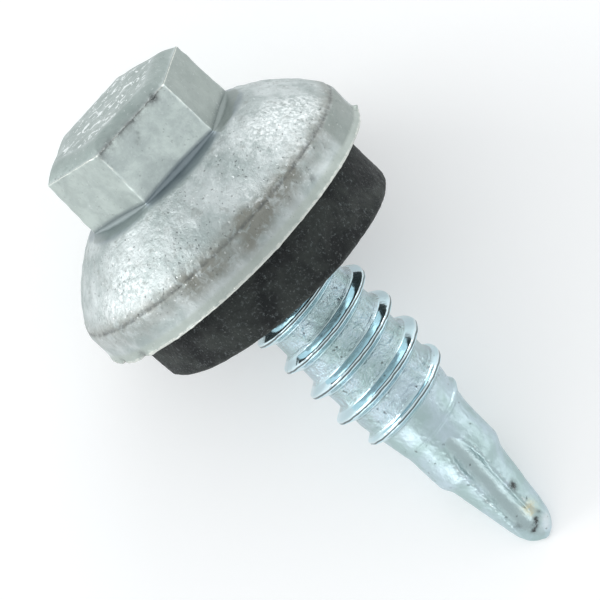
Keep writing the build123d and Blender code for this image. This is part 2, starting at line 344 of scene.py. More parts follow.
def curve_through(stations, count):
    """Smooth (x, y) curve through stations, evenly spaced between each two."""
    stations = np.array(stations)
    before = np.vstack([2 * stations[0] - stations[1], stations[:-1]])
    after = np.vstack([stations[1:], 2 * stations[-1] - stations[-2]])
    slopes = (after - before) / 2
    where = np.linspace(0, len(stations) - 1, count)
    span = np.minimum(where.astype(int), len(stations) - 2)
    t = (where - span)[:, None]
    return (
        (2 * t**3 - 3 * t**2 + 1) * stations[span]
        + (t**3 - 2 * t**2 + t) * slopes[span]
        + (3 * t**2 - 2 * t**3) * stations[span + 1]
        + (t**3 - t**2) * slopes[span + 1]
    )


# --- Head ---
SECTOR_COLUMNS = 76     # mesh columns to each flat, closer together toward the corners
CORNER_CROWDING = radians(5.0)
HALF_SECTOR = radians(30)
FLAT_WIDTH = radians(29.5)      # half of a flat, short of its rounded corners
# Mesh rings over the top, round its edge, down the flats, round their foot, over the ledge, down
# the dome and down the skirt.
TOP_RINGS, EDGE_RINGS, FLAT_RINGS, FOOT_RINGS = 34, 8, 36, 9
LEDGE_RINGS, DOME_RINGS, SKIRT_RINGS = 10, 60, 30
FOOT_ROUNDING = (0.07, 0.21)    # radius at a corner, and how much larger in a flat's middle
LIP_ROUNDING = 0.09
LEDGE_SAG = 0.012
CORNER_LINE = radians(1.5)      # width of the rubbed line down each corner
# Unevenness: depth, grain in millimetres and seed.
CASTING_GRAIN = (0.012, 0.55, 11)
CASTING_LUMPS = (0.010, 1.2, 15)
CASTING_WAVES = (0.02, 2.6, 12)
EDGE_NICKS = (0.02, 0.5, 13)
# The crease is a groove at the shoulder, with a slight ridge a little above it.
GROOVE_WIDTH, GROOVE_DEPTH = 0.085, 0.065
RIDGE_RISE, RIDGE_WIDTH, RIDGE_HEIGHT = 0.22, 0.09, 0.025
# The smooth dull patch on the skirt fades in and out at its two ends about the axis, in degrees,
# and at its lower and upper borders.
TARNISH_TURNS = ((50, 53), (88, 80))
TARNISH_HEIGHTS = ((-0.35, -0.2), (1.12, 1.0))
FRONT_FLAT, RIGHT_FLAT, LEFT_FLAT = radians(6.7), radians(66.7), radians(-53.3)
# Painted shade: how far the right flat and the left flat are darkened with the tarnish colour.
RIGHT_FLAT_SHADE, LEFT_FLAT_SHADE = 0.92, 0.55


def head_turns(sizes):
    """Column directions about the axis, and each one's angle from the middle of its flat."""
    across = np.linspace(-1, 1, SECTOR_COLUMNS, endpoint=False)
    off_middle = HALF_SECTOR * across + CORNER_CROWDING * np.sin(pi * across)
    middles = sizes.hex_turn + HALF_SECTOR + 2 * HALF_SECTOR * np.arange(6)
    return (middles[:, None] + off_middle).ravel(), np.tile(off_middle, 6)


def hex_reach(apothem, corner_radius, off_middle):
    """Radius of a hexagon with rounded corners, at an angle from the middle of a flat."""
    off_corner = HALF_SECTOR - np.abs(off_middle)
    centre = (apothem - corner_radius) / cos(HALF_SECTOR)
    arc_half = np.arctan2(corner_radius / 2, centre + corner_radius * cos(HALF_SECTOR))
    inside = np.clip(corner_radius**2 - (centre * np.sin(off_corner)) ** 2, 0, None)
    corner = centre * np.cos(off_corner) + np.sqrt(inside)
    return np.where(off_corner < arc_half, corner, apothem / np.cos(off_middle))


def parts(count):
    """Even shares of the way along a curve, past its start."""
    return np.linspace(0, 1, count)[1:]


def head_profile(sizes, off_middle):
    """Radius, height and marks of each ring of the head, at every column."""
    rows = []
    cornering = (np.abs(off_middle) / HALF_SECTOR) ** 2

    # The ledge mark is painted shade: it darkens the flats' lower ends, the hexagon's foot, the
    # ledge and the top of the dome.
    def add(radius, height, edge=0.0, grain=0.0, crease=0.0, ledge=0.0):
        flat = np.ones_like(off_middle)
        rows.append([flat * value for value in (radius, height, edge, grain, crease, ledge)])

    half = sizes.across_flats / 2
    rim = hex_reach(half - sizes.top_radius, sizes.corner_radius, off_middle)
    for part in 1 - (1 - 0.02) * (1 - np.linspace(0, 1, TOP_RINGS)) ** 1.25:
        inset = np.clip((1 - part) * half / sizes.crown_width, 0, 1)
        rise = sizes.crown * (1 - (1 - inset) ** 2)
        add(rim * part, sizes.hex_height + rise, 0.3 * smooth_step(0.97, 1, part), 0.5)
    for lean in np.linspace(0, pi / 2, EDGE_RINGS)[1:]:
        apothem = half - sizes.top_radius * (1 - sin(lean))
        radius = hex_reach(apothem, sizes.corner_radius, off_middle)
        height = sizes.hex_height - sizes.top_radius * (1 - cos(lean))
        add(radius, height, 0.95 * sin(2 * lean) ** 2, 0.2)

    foot_radius = FOOT_ROUNDING[0] + FOOT_ROUNDING[1] * (1 - cornering)
    foot = sizes.ledge_height + 0.10 + 0.12 * cornering
    top = sizes.hex_height - sizes.top_radius
    corner_mark = 0.72 * bell(HALF_SECTOR - np.abs(off_middle), CORNER_LINE)
    for part in parts(FLAT_RINGS):
        height = top + (foot + foot_radius - top) * part
        apothem = half + (top - height) * tan(sizes.draft)
        radius = hex_reach(apothem, sizes.corner_radius, off_middle)
        edge = np.maximum(corner_mark, 0.5 * bell(part, 0.02))
        add(radius, height, edge, 0.35, ledge=smooth_step(0.93, 1, part))
    foot_reach, foot_height = radius, height

    (centre_r, centre_z), dome_arc = arc_circle(
        (sizes.ledge_radius, sizes.ledge_height),
        (sizes.dome_radius, sizes.dome_height),
        (sizes.shoulder_radius, sizes.shoulder_height),
    )
    brink = foot_reach + foot_radius + 0.10 + 0.66 * (1 - cornering)
    brink_turn = np.arccos((brink - centre_r) / dome_arc)
    brink_height = centre_z + dome_arc * np.sin(brink_turn)
    for part in parts(FOOT_RINGS):
        a, b, c = (1 - part) ** 2, 2 * part * (1 - part), part**2
        radius = foot_reach * (a + b) + (foot_reach + foot_radius) * c
        height = foot_height * a + foot * b + (foot - 0.02) * c
        add(radius, height, ledge=1)
    ledge_reach, ledge_height = radius, height
    for part in parts(LEDGE_RINGS):
        radius = ledge_reach + (brink - ledge_reach) * part
        height = ledge_height + (brink_height - ledge_height) * part - LEDGE_SAG * sin(pi * part)
        add(radius, height, ledge=1 - 0.3 * part)

    last = atan2(sizes.shoulder_height - centre_z, sizes.shoulder_radius - centre_r)
    for part in parts(DOME_RINGS):
        turn = brink_turn + (last - brink_turn) * part
        radius = centre_r + dome_arc * np.cos(turn)
        height = centre_z + dome_arc * np.sin(turn)
        ledge = 0.7 * (1 - smooth_step(0, 0.06, part))
        add(radius, height, 0, smooth_step(0, 0.08, part), bell(1 - part, 0.12), ledge)

    skirt = curve_through(
        [
            (sizes.shoulder_radius, sizes.shoulder_height),
            (sizes.shoulder_radius + 0.055, sizes.shoulder_height - 0.3),
            (sizes.skirt_radius + 0.01, sizes.skirt_height + 0.45),
            (sizes.skirt_radius, sizes.skirt_height),
            (sizes.skirt_radius + 0.02, sizes.skirt_height - 0.45),
            (sizes.lip_radius, LIP_ROUNDING - sizes.lip_depth),
        ],
        SKIRT_RINGS,
    )
    for part, (radius, height) in zip(parts(SKIRT_RINGS), skirt[1:]):
        crease = 0.55 * (1 - smooth_step(0.35, 0.75, part)) + 0.45 * bell(part, 0.12)
        grain = 0.25 + 0.5 * (1 - smooth_step(0.2, 0.7, part))
        add(radius, height, 0.8 * smooth_step(0.88, 0.97, part), grain, crease)
    for lean in np.linspace(0, pi / 2, EDGE_RINGS)[1:]:
        radius = sizes.lip_radius - LIP_ROUNDING * (1 - cos(lean))
        add(radius, LIP_ROUNDING * (1 - sin(lean)) - sizes.lip_depth, edge=1)
    under = [
        (sizes.recess_mouth, -sizes.lip_depth),
        (sizes.recess_mouth - 0.08, -sizes.lip_depth + 0.06),
        (sizes.recess_radius, -0.02),
        (sizes.recess_radius - 0.08, 0.0),
        (sizes.neck_radius * 1.8, 0.0),
        (sizes.neck_radius, 0.0),
    ]
    for radius, height in under:
        add(radius, height, grain=0.4)
    return np.array(rows).transpose(1, 0, 2)


def arc_circle(a, b, c):
    """Centre and radius of the circle through three points."""
    (x1, y1), (x2, y2), (x3, y3) = a, b, c
    d = 2 * (x1 * (y2 - y3) + x2 * (y3 - y1) + x3 * (y1 - y2))
    s1, s2, s3 = x1**2 + y1**2, x2**2 + y2**2, x3**2 + y3**2
    centre_x = (s1 * (y2 - y3) + s2 * (y3 - y1) + s3 * (y1 - y2)) / d
    centre_y = (s1 * (x3 - x2) + s2 * (x1 - x3) + s3 * (x2 - x1)) / d
    return (centre_x, centre_y), sqrt((x1 - centre_x) ** 2 + (y1 - centre_y) ** 2)


# Places on this casting, in screw space. Dents, nicks and flash: place, reach and depth.
HEAD_DENTS = [
    ((3.75, 1.96, 7.55), 0.20, 0.16),
    ((3.85, 1.30, 7.56), 0.12, 0.08),
    ((3.95, 0.55, 7.56), 0.15, 0.07),
    ((3.98, 0.26, 6.95), 0.09, 0.05),
    ((3.98, 0.12, 6.78), 0.09, 0.05),
    ((2.23, -8.00, -0.60), 0.22, 0.16),
    ((4.33, -7.09, -0.58), 0.26, 0.14),
    ((1.20, -8.20, -0.62), 0.15, 0.09),
    ((0.98, 8.18, -0.30), 0.16, 0.14),
    ((0.62, 8.25, -0.45), 0.14, -0.20),
    ((7.00, 4.34, 0.12), 0.11, 0.09),
    ((7.90, 0.10, 1.70), 0.12, 0.05),
    ((6.60, -1.90, 2.75), 0.14, 0.05),
    ((-4.60, -5.30, 2.50), 0.22, 0.07),
    ((-6.30, 4.10, 1.90), 0.18, 0.06),
]
# Painted highlights, darkened places and stains: place, reach and strength.
# Painted highlights on the dome's brighter sides and along the slight ridge above the crease.
PAINTED_HIGHLIGHTS = [
    ((4.97, -5.20, 2.50), 1.5, 0.8),
    ((3.60, -6.80, 1.90), 1.0, 0.6),
    ((5.11, 4.64, 2.77), 1.5, 1.0),
    ((4.20, 5.80, 2.45), 1.2, 1.0),
    ((3.64, 6.65, 2.07), 1.1, 1.1),
    ((7.55, 1.80, 1.84), 0.7, 0.6),
    ((7.95, 1.90, 1.32), 0.35, 0.9),
    ((7.62, 3.00, 1.36), 0.40, 1.2),
    ((7.05, 4.15, 1.38), 0.40, 1.2),
    ((6.35, 5.15, 1.38), 0.40, 1.0),
    ((6.10, -5.45, 1.40), 0.35, 0.6),
    ((7.35, -3.70, 1.36), 0.35, 0.5),
]
# Dark places: mostly a painted shadow along and just below the top edge of the front flat, with a
# brownish tint high on the left flat and a few small dark marks.
DARK_EDGES = [
    ((3.97, 1.95, 7.56), 0.30, 1.1),
    ((3.97, 1.35, 7.58), 0.35, 0.8),
    ((3.97, 0.60, 7.58), 0.40, 0.7),
    ((3.97, -0.20, 7.58), 0.45, 0.6),
    ((4.05, -1.10, 7.58), 0.40, 0.7),
    ((4.30, -1.80, 7.50), 0.35, 0.7),
    ((4.55, 2.62, 4.10), 0.25, 0.9),
    ((3.00, -3.60, 7.40), 0.70, 0.35),
    ((1.60, -4.30, 7.40), 0.70, 0.35),
    ((3.98, -0.05, 6.72), 0.16, 0.5),
]
STAINED_PLACES = [
    ((8.21, -1.00, 0.45), 0.8, 0.35),
    ((8.20, 0.95, 0.70), 0.7, 0.85),
    ((8.25, 0.10, 0.25), 0.45, 0.6),
    ((8.10, 1.80, 0.95), 0.5, 0.8),
    ((8.05, 0.80, 1.50), 0.5, 0.7),
    ((7.64, -3.00, 0.75), 0.7, 0.6),
    ((7.95, -1.90, 0.70), 0.6, 0.5),
    ((7.65, 2.90, 0.85), 0.6, 0.6),
    ((7.20, 3.90, 1.00), 0.5, 0.5),
    ((-7.60, -2.80, 0.60), 1.2, 0.5),
    ((-4.10, 7.10, 0.50), 1.3, 0.4),
]


def placed(points, places):
    """Sum of soft spots over screw-space points, each with its place, reach and strength."""
    return sum(strength * near(points, place, reach) for place, reach, strength in places)


def on_flat(turns, middle, half_width=FLAT_WIDTH):
    """True at the columns of one flat of the hexagon."""
    return np.cos(turns - middle) > cos(half_width)


def build_head(sizes):
    """Mesh of the cast head, with its casting unevenness."""
    turns, off_middle = head_turns(sizes)
    radius, height, edge, grain, crease, ledge = head_profile(sizes, off_middle)
    rings = round_points(radius, height, turns)
    outside = (radius > sizes.dome_radius) * (height > -sizes.lip_depth * 0.8)
    bumps = grain * rippled(rings, *CASTING_GRAIN) + rippled(rings, *CASTING_WAVES)
    bumps += edge * rippled(rings, *EDGE_NICKS) * (height > -0.7)
    bumps += grain * rippled(rings, *CASTING_LUMPS)
    groove = bell(height - sizes.shoulder_height, GROOVE_WIDTH) * outside
    bumps -= GROOVE_DEPTH * groove * (0.75 + 0.5 * uneven(rings, 2.0, 14))
    ridge = bell(height - sizes.shoulder_height - RIDGE_RISE, RIDGE_WIDTH) * outside
    bumps += RIDGE_HEIGHT * ridge * (0.8 + 0.6 * uneven(rings, 1.6, 16))
    dents = placed(rings, HEAD_DENTS)
    bumps *= radius > sizes.neck_radius * 0.5
    rings = pushed(rings, bumps - dents)

    # The skirt's smooth dark patch; the flats' painted shade is added to it in the mark below.
    tarnish_and_shade = outside * np.ones_like(turns)
    for low, high in TARNISH_TURNS:
        tarnish_and_shade = tarnish_and_shade * smooth_step(radians(low), radians(high), turns)
    for low, high in TARNISH_HEIGHTS:
        tarnish_and_shade = tarnish_and_shade * smooth_step(low, high, height)
    # Painted shade on the right flat and, more lightly, on the left flat.
    painted_flat_shade = RIGHT_FLAT_SHADE * on_flat(turns, RIGHT_FLAT)
    painted_flat_shade = painted_flat_shade + LEFT_FLAT_SHADE * on_flat(turns, LEFT_FLAT)
    on_sides = (height > sizes.ledge_height) * (height < sizes.hex_height)
    painted_flat_shade = painted_flat_shade * on_sides * (radius < sizes.ledge_radius)
    foot = sizes.ledge_height + 0.1
    inward = radius / hex_reach(sizes.across_flats / 2, sizes.corner_radius, off_middle)
    on_top = smooth_step(sizes.hex_height - 0.02, sizes.hex_height + 0.02, height)
    # Painted shadow: a dark line just below the top edge of the front flat.
    front_edge_shadow = bell(height - sizes.hex_height + 0.05, 0.05) * (inward > 0.95)
    front_edge_shadow = front_edge_shadow * on_flat(turns, FRONT_FLAT, radians(28.5))
    marks = {
        "edge": edge,
        "grain": grain,
        "crease": crease * 0.75 + placed(rings, STAINED_PLACES) * outside,
        # Painted shade in the crease groove and below the front flat's top edge, with dark nicks
        # and dents.
        "shade_lines_and_nicks": groove + np.clip(dents / 0.1, 0, 1) + placed(rings, DARK_EDGES) + front_edge_shadow,
        # Painted shade round the hexagon's foot.
        "ledge": ledge,
        # Painted highlights on the dome and above the crease.
        "painted_highlight": np.clip(placed(rings, PAINTED_HIGHLIGHTS), 0, 1),
        "tarnish_and_shade": np.maximum(tarnish_and_shade, painted_flat_shade),
        "lip_band": smooth_step(-0.05, -0.3, height) * outside,
        "flat": smooth_step(foot, foot + 0.3, height) * (1 - on_top),
        "middle": on_top * smooth_step(0.76, 0.68, inward),
        "border": on_top * smooth_step(0.70, 0.78, inward) * smooth_step(0.985, 0.95, inward),
    }
    return capped_rings("cast_flange_head", rings, marks)


# --- Washer ---
WASHER_COLUMNS = 300
RUBBER_WAVES = (0.014, 1.9, 21)     # unevenness: depth, grain in millimetres and seed
RUBBER_GRAIN = (0.008, 0.5, 22)
BULGE = 0.05            # the squeezed wall stands proud at its middle
SHIFT = 0.1             # how far off the axis the lower face sits


def build_washer(sizes):
    """Mesh of the rubber washer, squeezed a little askew."""
    turns = np.linspace(0, 2 * pi, WASHER_COLUMNS, endpoint=False)
    low = -sizes.thickness
    bore, bevel = sizes.bore_radius, sizes.bore_bevel
    profile = [(r, -0.005) for r in np.linspace(bore, sizes.radius - 0.08, 12)]
    profile += [(sizes.radius, z) for z in np.linspace(-0.08, low + sizes.edge_radius, 40)[:-1]]
    for lean in np.linspace(0, pi / 2, 9):
        inset, rise = 1 - cos(lean), 1 - sin(lean)
        profile.append((sizes.radius - sizes.edge_radius * inset, low + sizes.edge_radius * rise))
    profile += [(r, low) for r in np.linspace(sizes.radius - sizes.edge_radius, 3.5, 22)[1:]]
    profile += [(bore + bevel * (1 - part), low + bevel * part) for part in (0, 0.5, 1)]
    profile += [(bore, z) for z in np.linspace(low + 0.4, -0.05, 12)]
    radius, height = np.array(profile).T[..., None]
    lower = np.clip(height / low, 0, 1)
    askew = -tan(sizes.tilt) * radius * np.cos(turns - sizes.tilt_toward) * lower
    rings = round_points(radius, height + askew, turns)
    rings[..., 1] += SHIFT * lower
    bulge = BULGE * np.sin(pi * lower) * (radius > sizes.radius - 0.3)
    rings = pushed(rings, bulge + rippled(rings, *RUBBER_WAVES) + rippled(rings, *RUBBER_GRAIN))
    edge = np.exp(-((radius - sizes.radius) ** 2 + (height - low) ** 2) / 0.3**2)
    return looped_rings("sealing_ring", rings, {"edge": edge * np.ones_like(turns)})


# --- Shank ---
SHANK_COLUMNS = 264
# Mesh rows across half of the thread's pitch, as distances from the crest's middle.
CREST_STATIONS = [
    0.025, 0.055, 0.085, 0.115, 0.15, 0.2, 0.27, 0.34, 0.41, 0.46, 0.51, 0.57, 0.66, 0.78
]
SHANK_TOP = -0.5        # the shank's own top, inside the casting
POINT_TOP = 14.95       # depth where the thread's slanting mesh rows give way to level ones
POINT_ROWS = ((17.3, 36), (21.2, 46))       # depths that level rows reach, and how many
TIP_ROWS = 22
TIP_RADIUS, TIP_GAP = 0.03, 0.02
PILOT_TAPER = 0.02      # the pilot is this much thicker at its top and thinner at its end
POINT_TAPER = [(17.65, 1.54), (18.4, 1.43), (19.5, 1.26), (20.6, 1.10)]     # depth and radius
NOSE_ARC = [(0.65, 0.83), (0.35, 0.62), (0.13, 0.36)]   # above the tip; share of nose radius
BODY_BLUR = 0.12        # half of the depth over which the body's corners are rounded
BLEND = 0.06            # rounding where thread, body, flutes and facets meet
CREST_SEAM = (0.03, 0.025)      # depth and width of the rolling seam along the crest
FLUTE_DRIFT = 0.28      # how far a flute wanders sideways down the point
LIP_ENDS = ((14.4, 15.2), (20.9, 20.3))     # where the flutes' burr begins and ends
LIP_OFFSET, LIP_WIDTH, LIP_HEIGHT = 0.09, 0.10, 0.075
PLATE_GRAIN = (0.006, 0.35, 31)     # unevenness: depth, grain in millimetres and seed
PLATE_WAVES = (0.012, 1.5, 32)


def body_radius(sizes, depth):
    """Radius of the root, pilot and point, without flutes."""
    stations = [
        (-1.0, sizes.root_radius),
        (sizes.root_end, sizes.root_radius),
        (sizes.thread_end, sizes.pilot_radius + PILOT_TAPER),
        (sizes.pilot_end, sizes.pilot_radius - PILOT_TAPER),
        (sizes.shoulder_depth, sizes.shoulder_radius),
        *POINT_TAPER,
        (sizes.nose_start, sizes.nose_radius),
        *((sizes.length_below - rise, share * sizes.nose_radius) for rise, share in NOSE_ARC),
        (sizes.length_below, TIP_RADIUS),
    ]
    stations = np.array(stations).T
    spread = np.linspace(-BODY_BLUR, BODY_BLUR, 9)
    return np.mean([np.interp(depth + step, *stations) for step in spread], axis=0)


def thread_radius(sizes, turn, depth):
    """Radius of the thread's ridge, far inside the body between two crests."""
    offset = (depth - sizes.phase_depth + sizes.pitch * turn / (2 * pi)) / sizes.pitch
    offset = np.abs(offset - np.round(offset)) * sizes.pitch
    crest_stations = [
        (sizes.start_depth, sizes.root_radius - 0.05),
        (sizes.start_depth + 1.5, sizes.crest_radius),
        (sizes.full_end, sizes.crest_radius),
        (sizes.run_out_depth - 1.1, sizes.run_out_radius + 0.13),
        (sizes.run_out_depth, sizes.run_out_radius),
        (sizes.run_out_depth + 0.8, sizes.run_out_radius - 0.47),
        (sizes.thread_end, sizes.pilot_radius - 0.1),
        (sizes.thread_end + 0.5, 0.0),
    ]
    crest = np.interp(depth, *np.array(crest_stations).T)
    flank = crest - (offset - sizes.crest_land / 2) / tan(sizes.flank)
    seam_depth, seam_width = CREST_SEAM
    return smooth_min(crest - 0.6 * offset**2, flank, 0.05) - seam_depth * bell(offset, seam_width)


def flute_cutter(sizes, depth):
    """The round cutter's distance from the axis, its section there and its drift about the axis."""
    beyond = depth - sizes.flute_start
    floor = sizes.flute_floor - np.clip(beyond, 0, None) * tan(sizes.flute_slope)
    cutter = floor + 0.16 * smooth_step(1.6, -0.4, beyond) + sizes.flute_radius
    inside = sizes.flute_radius**2 - np.clip(-beyond, 0, None) ** 2
    section = np.sqrt(np.clip(inside, 0, None))
    return cutter, section, FLUTE_DRIFT * smooth_step(0, 6, beyond) / cutter


def flute_border(sizes, turn, depth, radius):
    """How far a place on the uncut surface is from the nearest flute's border, 0 at the border."""
    cutter, section, drift = flute_cutter(sizes, depth)
    half_width = np.sqrt(np.clip(section**2 - (cutter - radius) ** 2, 0, None))
    bearing = np.mod(turn + drift + pi / 2, pi) - pi / 2
    return radius * np.abs(np.sin(bearing)) - half_width


def cut_radius(sizes, turn, depth):
    """Radius where a ray from the axis meets the nearest flute or cutting facet."""
    cutter, section, drift = flute_cutter(sizes, depth)
    untouched = np.full_like(depth, 9.0)
    nearest = untouched
    for side in (0, pi):
        bearing = turn - side + drift
        inside = section**2 - (cutter * np.sin(bearing)) ** 2
        hit = cutter * np.cos(bearing) - np.sqrt(np.clip(inside, 0, None))
        meets = (inside > 0) & (np.cos(bearing) > 0)
        nearest = np.minimum(nearest, np.where(meets, hit, untouched))
    half_thickness = (sizes.length_below - depth) * tan(sizes.facet_slope)
    half_thickness += sizes.chisel_edge / 2
    facet = half_thickness / np.maximum(np.abs(np.cos(turn + sizes.facet_turn)), 0.01)
    return smooth_min(nearest, facet, BLEND)


def flute_lip(sizes, turn, depth, radius):
    """1 along the raised burr on both borders of each flute."""
    along = 1.0
    for start, end in LIP_ENDS:
        along = along * smooth_step(start, end, depth)
    return bell(flute_border(sizes, turn, depth, radius) - LIP_OFFSET, LIP_WIDTH) * along


def shank_surface(sizes, turn, depth):
    """Radius of the finished shank at a direction and depth."""
    radius = smooth_max(body_radius(sizes, depth), thread_radius(sizes, turn, depth), BLEND)
    beads = 0.5 + 0.4 * np.sin(9.5 * depth + 6.0 * turn) + 0.4 * np.sin(17.0 * depth - 14.0 * turn)
    radius = radius + LIP_HEIGHT * beads * flute_lip(sizes, turn, depth, radius)
    return smooth_min(radius, cut_radius(sizes, turn, depth), BLEND)


def shank_grid(sizes):
    """Direction, depth and faces of the shank's mesh, all but the middles of its two ends.

    Rows follow the helix through the thread and are level below it. Slanting rows that run past
    either end of the thread's part of the mesh are cut off there, and share one level ring."""
    stations = np.array([0.0] + CREST_STATIONS) / sizes.pitch
    one_turn = np.concatenate([stations, [0.5], 1 - stations[:0:-1]])
    first, last = (np.array([SHANK_TOP, POINT_TOP]) - sizes.phase_depth) / sizes.pitch
    turns_down = np.arange(int(np.floor(first)) - 1, int(np.ceil(last)) + 2)
    start_rows = (turns_down[:, None] + one_turn).ravel() * sizes.pitch + sizes.phase_depth
    turn = np.arange(SHANK_COLUMNS) * 2 * pi / SHANK_COLUMNS
    slanting = start_rows[:, None] - sizes.pitch * turn / (2 * pi)
    level = [SHANK_TOP, POINT_TOP]
    for end, rows in (*POINT_ROWS, (sizes.length_below - TIP_GAP, TIP_ROWS)):
        level += np.linspace(level[-1], end, rows)[1:].tolist()

    rows, below = len(start_rows), len(level)
    index = np.arange((rows + below) * SHANK_COLUMNS).reshape(rows + below, SHANK_COLUMNS)
    index, rings = index[:rows], index[rows:]
    top_ring, low_ring = rings[:2]
    index = np.where(slanting <= SHANK_TOP, top_ring, index)
    index = np.where(slanting >= POINT_TOP, low_ring, index)
    after = np.roll(index, -1, axis=1)
    after[len(one_turn) :, -1] = index[: -len(one_turn), 0]
    after[: len(one_turn), -1] = top_ring[0]
    faces = [list(dict.fromkeys(quad)) for quad in ring_faces(index, after)]
    faces = [corners for corners in faces if len(corners) > 2]
    faces += ring_faces(rings[1:], np.roll(rings[1:], -1, axis=1))
    top = rings[-1, -1] + 1
    faces += fan_faces(top, top_ring, np.roll(top_ring, -1))
    faces += fan_faces(top + 1, np.roll(rings[-1], -1), rings[-1])

    slanting = np.clip(slanting, SHANK_TOP, POINT_TOP).ravel()
    depth = np.concatenate([slanting, np.repeat(level, SHANK_COLUMNS)])
    return np.tile(turn, rows + below), depth, faces


def shank_marks(sizes, turn, depth, radius):
    """The material's marks over the shank, but for its single spots."""
    body = body_radius(sizes, depth)
    rise = (radius - body) / (sizes.crest_radius - sizes.root_radius)
    off_crest = (depth - sizes.phase_depth) / sizes.pitch + turn / (2 * pi)
    off_crest = (off_crest - np.round(off_crest)) * sizes.pitch
    flank = smooth_step(0.08, 0.25, radius - body)
    in_flute = smooth_step(0.0, -0.12, flute_border(sizes, turn, depth, body))
    cut = smooth_step(0.01, 0.06, body - radius) * (depth > sizes.thread_end - 0.5)
    return {
        "crest": smooth_step(0.25, 0.5, rise) * (depth < sizes.thread_end),
        "crest_side": np.clip(off_crest, -0.4, 0.4),
        "flank": flank,
        "flute": cut * in_flute,
        "rim": flute_lip(sizes, turn, depth, body),
        "root": smooth_step(sizes.root_end + 1.5, sizes.root_end - 0.5, depth) * (1 - flank),
    }


# Places on this drill point, in screw space: place, reach and strength.
# Dark spots, and a painted shadow: the four spots from depth 20.95 to 21.42 form a dark line beside
# the tip's cutting edge.
POINT_SPOTS = [
    ((1.22, 0.60, -18.80), 0.24, 1.3),
    ((0.74, 0.26, -20.95), 0.15, 1.4),
    ((0.62, 0.08, -21.10), 0.15, 1.6),
    ((0.55, -0.10, -21.25), 0.15, 1.6),
    ((0.45, -0.28, -21.42), 0.15, 1.4),
    ((0.80, -0.62, -20.55), 0.22, 0.6),
    ((0.70, -0.45, -21.00), 0.25, 0.35),
    ((0.82, 0.55, -20.75), 0.10, 0.8),
    ((1.20, -0.80, -18.40), 0.13, 0.6),
]
# Painted highlight on the bright facet at the tip.
POINT_HIGHLIGHT = [((0.62, 0.62, -21.30), 0.30, 1.0), ((0.45, 0.35, -21.70), 0.25, 0.9)]
POINT_RUST = [((1.00, 0.40, -20.25), 0.36, 1.1), ((0.90, 0.20, -20.60), 0.18, 0.6)]


def build_shank(sizes):
    """Mesh of the threaded shank and its drill point."""
    turn, depth, faces = shank_grid(sizes)
    radius = shank_surface(sizes, turn, depth)
    points = round_points(radius, -depth, turn)
    rough = rippled(points, *PLATE_GRAIN) + rippled(points, *PLATE_WAVES)
    points += points * [1, 1, 0] * (rough / np.maximum(radius, 0.3))[:, None]
    marks = shank_marks(sizes, turn, depth, radius)
    for name, places in (("spots", POINT_SPOTS), ("rust", POINT_RUST), ("tip_highlight", POINT_HIGHLIGHT)):
        marks[name] = placed(points, places)
    points = np.vstack([points, [(0, 0, -SHANK_TOP), (0, 0, -sizes.length_below)]])
    used = np.unique(np.concatenate(faces))
    renumber = np.full(len(points), -1)
    renumber[used] = np.arange(len(used))
    faces = [renumber[corners].tolist() for corners in faces]
    marks = {name: np.append(values, [0, 0])[used] for name, values in marks.items()}
    return make_piece("threaded_shank", points[used], faces, marks)


# --- Materials ---
class Value:
    """One output of a shader node. Arithmetic with it adds math nodes to its tree."""

    def __init__(self, socket):
        self.socket = socket
        self.tree = socket.id_data

    def __add__(self, other):
        return reckon("ADD", self, other)

    def __sub__(self, other):
        return reckon("SUBTRACT", self, other)

    def __rsub__(self, other):
        return reckon("SUBTRACT", other, self)

    def __mul__(self, other):
        return reckon("MULTIPLY", self, other)

    def within(self, mask):
        """Product with a mask, held between 0 and 1."""
        return reckon("MULTIPLY", self, mask, clamp=True)

    def or_more(self, other):
        """The larger of two values."""
        return reckon("MAXIMUM", self, other)


def put(socket, value):
    """Sets a socket, or links a value to it."""
    if isinstance(value, Value):
        value.tree.links.new(value.socket, socket)
    else:
        socket.default_value = value


def node(tree, kind, inputs=None, **settings):
    """New shader node with its settings and inputs."""
    made = tree.nodes.new(kind)
    for name, value in settings.items():
        setattr(made, name, value)
    for name, value in (inputs or {}).items():
        put(made.inputs[name], value)
    return made


def reckon(operation, *values, clamp=False):
    """Math node over one or two values, of which some may be plain numbers."""
    tree = next(value.tree for value in values if isinstance(value, Value))
    made = node(tree, "ShaderNodeMath", operation=operation, use_clamp=clamp)
    for socket, value in zip(made.inputs, values):
        put(socket, value)
    return Value(made.outputs[0])


def blended(mask, first, second):
    """First colour where the mask is 0, second colour where it is 1."""
    made = node(mask.tree, "ShaderNodeMix", {"Factor": mask}, data_type="RGBA", clamp_factor=True)
    for socket, colour in zip(made.inputs[6:8], (first, second)):
        put(socket, colour if isinstance(colour, Value) else (*colour, 1))
    return Value(made.outputs[2])


def layered(base, layers):
    """Colours laid over a base, each through its mask."""
    for colour, mask in layers:
        base = blended(mask, base, colour)
    return base


def remapped(value, low, high, to_low=0.0, to_high=1.0):
    """Value moved from one range to another, smoothly, and held inside it."""
    names = ("Value", "From Min", "From Max", "To Min", "To Max")
    inputs = dict(zip(names, (value, low, high, to_low, to_high)))
    made = node(value.tree, "ShaderNodeMapRange", inputs, interpolation_type="SMOOTHSTEP")
    return Value(made.outputs["Result"])


def mark(tree, name, output="Fac"):
    """One of the mesh's marks."""
    return Value(node(tree, "ShaderNodeAttribute", attribute_name=name).outputs[output])


def screw_place(tree):
    """Place in screw space, in millimetres."""
    return mark(tree, "screw_place", "Vector")


def noise(place, scale, detail=3.0, roughness=0.55, distortion=0.0, output="Fac"):
    """Noise over a place; scale is features to a millimetre."""
    names = ("Vector", "Scale", "Detail", "Roughness", "Distortion")
    inputs = dict(zip(names, (place, scale, detail, roughness, distortion)))
    return Value(node(place.tree, "ShaderNodeTexNoise", inputs).outputs[output])


